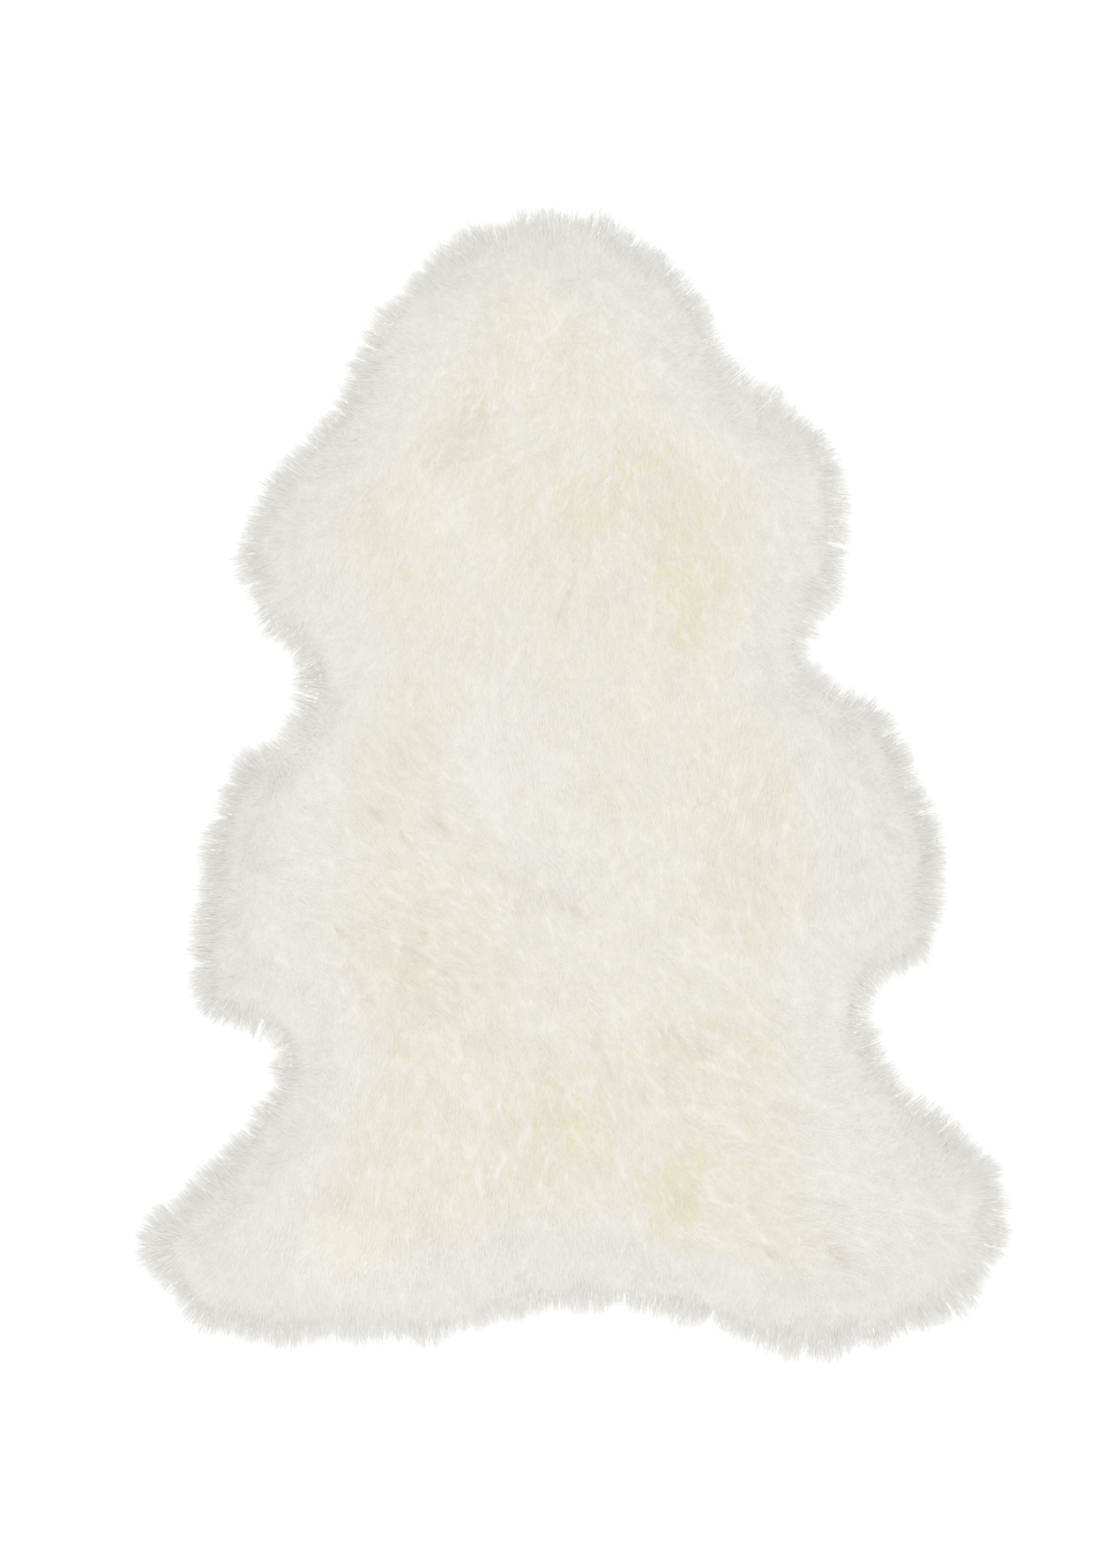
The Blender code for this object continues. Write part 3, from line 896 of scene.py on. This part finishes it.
def grown(coat):
    """Every wisp of one coat of the fleece, as arrays of its points and what the finish needs at each."""
    draw = np.random.default_rng(coat.seed)
    roots = rooted(coat)
    pattern = wisp_pattern(coat.cuts)
    points, facing, turned = bent(coat, roots, pattern, draw)
    count, corners = turned.shape

    yolk, dull = stains_and_painted_light(roots)
    # painted shade: brown for the soil at the tips and the greyed sides, and for the painted shade of the
    # partings
    soil_and_painted_shade = SOIL_AND_SHADE_AT_TIPS * np.maximum(dull, 0)[:, None] + PAINTED_SHADE_IN_PARTINGS * parting_shade(points)
    tone_and_painted_light = LOCK_SHADE * lock_shade[roots.lock] + TUFT_SHADE * tuft_shade[roots.tuft]
    tone_and_painted_light += draw.normal(0, WISP_SHADE, count)
    # painted light: wool below 0 on the soil scale is painted lighter, round the rim and in the notches
    # of its edge
    tone_and_painted_light -= LIGHTENING * np.minimum(dull, 0)
    fibre = np.stack(
        [
            np.cos(turned) * FIBRE_RADIUS,
            np.sin(turned) * FIBRE_RADIUS,
            np.tile(pattern.heights * FIBRE_LENGTH, (count, 1)),
        ],
        axis=2,
    )
    fibre[:, :, 0] += draw.random(count)[:, None] * FIBRE_APART
    spread = {
        "tipward": np.tile(pattern.heights, (count, 1)),
        "yolk": np.tile(np.clip(yolk, 0, 1.2)[:, None], (1, corners)),
        "soil_and_painted_shade": np.clip(soil_and_painted_shade, 0, 1.0),
        "tone_and_painted_light": np.tile(tone_and_painted_light[:, None], (1, corners)),
    }
    return {
        "points": points,
        "facing": facing,
        "fibre": fibre,
        "spread": spread,
        "pattern": pattern,
        "along": locks[roots.lock][:, 1],
    }


STRAND_SIZE = 0.0004
STRAND_STEP = 0.02  # how much paler or darker one strand is than another
SHADE_STEP = 0.004
WOOL_VALUE = 0.990
STAINED_FROM = (0.25, 0.85)  # shares of a wisp's length over which its root's cream gives way


def wool(name):
    """The long wool's finish: clean cream, yellow with yolk or brown with soil and painted shade, painted
    lighter round the rim, and paler at the tips.
    """
    material, shader, tone = new_finish(name)
    links = material.node_tree.links

    def given(attribute):
        return tone.node("ShaderNodeAttribute", {"attribute_name": attribute}, {}, "Fac")

    fibre = tone.node("ShaderNodeAttribute", {"attribute_name": "fibre"}, {}, "Vector")
    tipward = given("tipward")
    # painted shade: the wool darkens towards brown for its soil and for the painted shade of the partings
    # and sides
    stained_and_shaded = given("soil_and_painted_shade").dyed(given("yolk").dyed(CLEAN, YOLK), SOIL_AND_SHADE_BROWN)
    grown_out = (1 - tipward.within(*STAINED_FROM)).dyed(stained_and_shaded, ROOT_CREAM)
    strands = fibre.grain(STRAND_SIZE, detail=2.0)
    # painted light: the value holds each wisp's own tone, with painted light round the rim
    value = WOOL_VALUE + given("tone_and_painted_light") * SHADE_STEP + (strands - 0.5) * STRAND_STEP
    shaded = tone.node(
        "ShaderNodeHueSaturation",
        {},
        {"Hue": 0.5, "Saturation": 1.0, "Value": value, "Fac": 1.0, "Color": grown_out},
    )
    bumps = tone.node("ShaderNodeBump", {}, {"Strength": 0.3, "Distance": STRAND_SIZE, "Height": strands})
    links.new(shaded.socket, shader.inputs["Base Color"])
    links.new(bumps.socket, shader.inputs["Normal"])
    shader.inputs["Roughness"].default_value = 0.8
    shader.inputs["Specular IOR Level"].default_value = 0.2
    shader.inputs["Sheen Weight"].default_value = 0.15
    shader.inputs["Sheen Roughness"].default_value = 0.4
    return material


CELL_SLIMNESS = 4  # how many times as high as wide a wisp's cell of the baked texture is


def cells(places):
    """A cell of the baked texture for each wisp, near the cells of its neighbours."""
    count = len(places)
    columns = math.ceil(math.sqrt(CELL_SLIMNESS * count))
    rows = math.ceil(count / columns)
    row = np.empty(count, int)
    row[np.argsort(places[:, 1], kind="stable")] = np.arange(count) // columns
    column = np.empty(count, int)
    column[np.lexsort((places[:, 0], row))] = np.arange(count) % columns
    return np.stack([column, row], axis=1), (columns, rows)


LEAST_FACING = 0.1  # a corner whose soft shading would turn from its face more than this takes the face's


def wisps_mesh(name, parts):
    """One mesh of the chosen wisps of each coat, each wisp a closed cone bent along its own line."""

    def gathered(kind):
        return np.concatenate([coat[kind][chosen].reshape(-1, 3) for coat, chosen in parts])

    points = gathered("points")
    loops, sizes, base = [], [], 0
    for coat, chosen in parts:
        corners = coat["points"].shape[1]
        faces = coat["pattern"].faces
        round_faces = np.concatenate([np.array(face) for face in faces])
        loops.append((base + round_faces[None, :] + np.arange(len(chosen))[:, None] * corners).ravel())
        sizes.append(np.tile([len(face) for face in faces], len(chosen)))
        base += len(chosen) * corners
    loops, sizes = np.concatenate(loops), np.concatenate(sizes)
    mesh = bpy.data.meshes.new(name)
    mesh.vertices.add(len(points))
    mesh.vertices.foreach_set("co", points.astype(np.float32).ravel())
    mesh.loops.add(len(loops))
    mesh.loops.foreach_set("vertex_index", loops.astype(np.int32))
    mesh.polygons.add(len(sizes))
    mesh.polygons.foreach_set("loop_start", (np.cumsum(sizes) - sizes).astype(np.int32))
    mesh.update(calc_edges=True)
    mesh.validate()
    mesh.polygons.foreach_set("use_smooth", np.ones(len(sizes), bool))

    for attribute in parts[0][0]["spread"]:
        values = np.concatenate([coat["spread"][attribute][chosen].ravel() for coat, chosen in parts])
        layer = mesh.attributes.new(attribute, "FLOAT", "POINT")
        layer.data.foreach_set("value", values.astype(np.float32))
    fibre_layer = mesh.attributes.new("fibre", "FLOAT_VECTOR", "POINT")
    fibre_layer.data.foreach_set("vector", gathered("fibre").astype(np.float32).ravel())

    cell, grid = cells(np.concatenate([coat["points"][chosen][:, 0] for coat, chosen in parts]))
    texture, first = [], 0
    for coat, chosen in parts:
        here = cell[first : first + len(chosen)]
        texture.append((here[:, None] + coat["pattern"].texture[None, :]).reshape(-1, 2) / grid)
        first += len(chosen)
    bake_layer = mesh.uv_layers.new(name="OFBake")
    bake_layer.data.foreach_set("uv", np.concatenate(texture).astype(np.float32).ravel())

    facing = gathered("facing")[loops]
    outward = np.empty(len(sizes) * 3, np.float32)
    mesh.polygons.foreach_get("normal", outward)
    outward = np.repeat(outward.reshape(-1, 3), sizes, axis=0)
    backward = (facing * outward).sum(axis=1) < LEAST_FACING
    facing[backward] = outward[backward]
    mesh.normals_split_custom_set(facing)
    return mesh


# Each piece of the long wool reaches from the one before it, nearer to the neck, back to this line.
BANDS = (
    ("wool_neck", 0.205),
    ("wool_shoulders", 0.050),
    ("wool_back", -0.072),
    ("wool_belly", -0.205),
    ("wool_rump", -0.342),
    ("wool_tail", -1.0),
)
wool_finish = wool("long_wool")
coats = [grown(UNDERCOAT), grown(OVERCOAT), grown(EDGE_HAIRS)]
wool_side.free()
front = 1.0
for name, back in BANDS:
    parts = [(coat, np.flatnonzero((coat["along"] <= front) & (coat["along"] > back))) for coat in coats]
    new_piece(name, wisps_mesh(name, parts), wool_finish)
    front = back


# The studio: a wide matt white floor that glows a little, so that it is as plain and pale as paper,
# an even pale sky, one big soft lamp high over the tail end, and the camera straight above the rug.
FLOOR_RADIUS = 40.0
FLOOR_SEGMENTS = 64
FLOOR_DROP = 0.0002
FLOOR_GREY = (0.55, 0.55, 0.55, 1)
FLOOR_GLOW = 0.76
SKY = (0.97, 0.985, 1.0, 1)
SKY_STRENGTH = 0.86
LAMP_SIZE = 3.0
LAMP_POWER = 44.0
LAMP_PLACE = (0.3, -0.6, 4.2)
CAMERA_PLACE = (-0.0099, -0.0015, 3.012)
CAMERA_DISTANCE = 3.0  # from the wool's slopes, 12 mm over the floor
FRAME_LENGTH = 1.2983  # metres that the picture takes in at that distance, from its top to its foot
SENSOR_WIDTH = 36.0
BOUNCES = 16  # light passes on from hair to hair

floor_form = bmesh.new()
bmesh.ops.create_circle(floor_form, cap_ends=True, radius=FLOOR_RADIUS, segments=FLOOR_SEGMENTS)
bmesh.ops.translate(floor_form, verts=floor_form.verts, vec=(0, 0, -FLOOR_DROP))
floor_mesh = bpy.data.meshes.new("floor")
floor_form.to_mesh(floor_mesh)
floor_form.free()
white_floor, floor_shader, _ = new_finish("white_floor")
floor_shader.inputs["Base Color"].default_value = FLOOR_GREY
floor_shader.inputs["Roughness"].default_value = 1.0
floor_shader.inputs["Specular IOR Level"].default_value = 0.0
floor_shader.inputs["Emission Color"].default_value = (1, 1, 1, 1)
floor_shader.inputs["Emission Strength"].default_value = FLOOR_GLOW
floor = bpy.data.objects.new("floor", floor_mesh)
floor_mesh.materials.append(white_floor)
bpy.context.scene.collection.objects.link(floor)

world = bpy.data.worlds.new("studio")
world.use_nodes = True
world.node_tree.nodes["Background"].inputs["Color"].default_value = SKY
world.node_tree.nodes["Background"].inputs["Strength"].default_value = SKY_STRENGTH
bpy.context.scene.world = world

lamp_data = bpy.data.lights.new("soft_box", "AREA")
lamp_data.shape = "SQUARE"
lamp_data.size = LAMP_SIZE
lamp_data.energy = LAMP_POWER
lamp = bpy.data.objects.new("soft_box", lamp_data)
lamp.location = LAMP_PLACE
bpy.context.scene.collection.objects.link(lamp)
lamp.rotation_euler = (-lamp.location).to_track_quat("-Z", "Y").to_euler()

camera_data = bpy.data.cameras.new("camera")
camera_data.sensor_width = SENSOR_WIDTH
camera_data.lens = SENSOR_WIDTH * CAMERA_DISTANCE / FRAME_LENGTH
camera = bpy.data.objects.new("camera", camera_data)
camera.location = CAMERA_PLACE
bpy.context.scene.collection.objects.link(camera)
bpy.context.scene.camera = camera
bpy.context.scene.view_settings.view_transform = "Standard"
bpy.context.scene.cycles.diffuse_bounces = BOUNCES
bpy.context.scene.cycles.max_bounces = BOUNCES

bpy.context.view_layer.update()
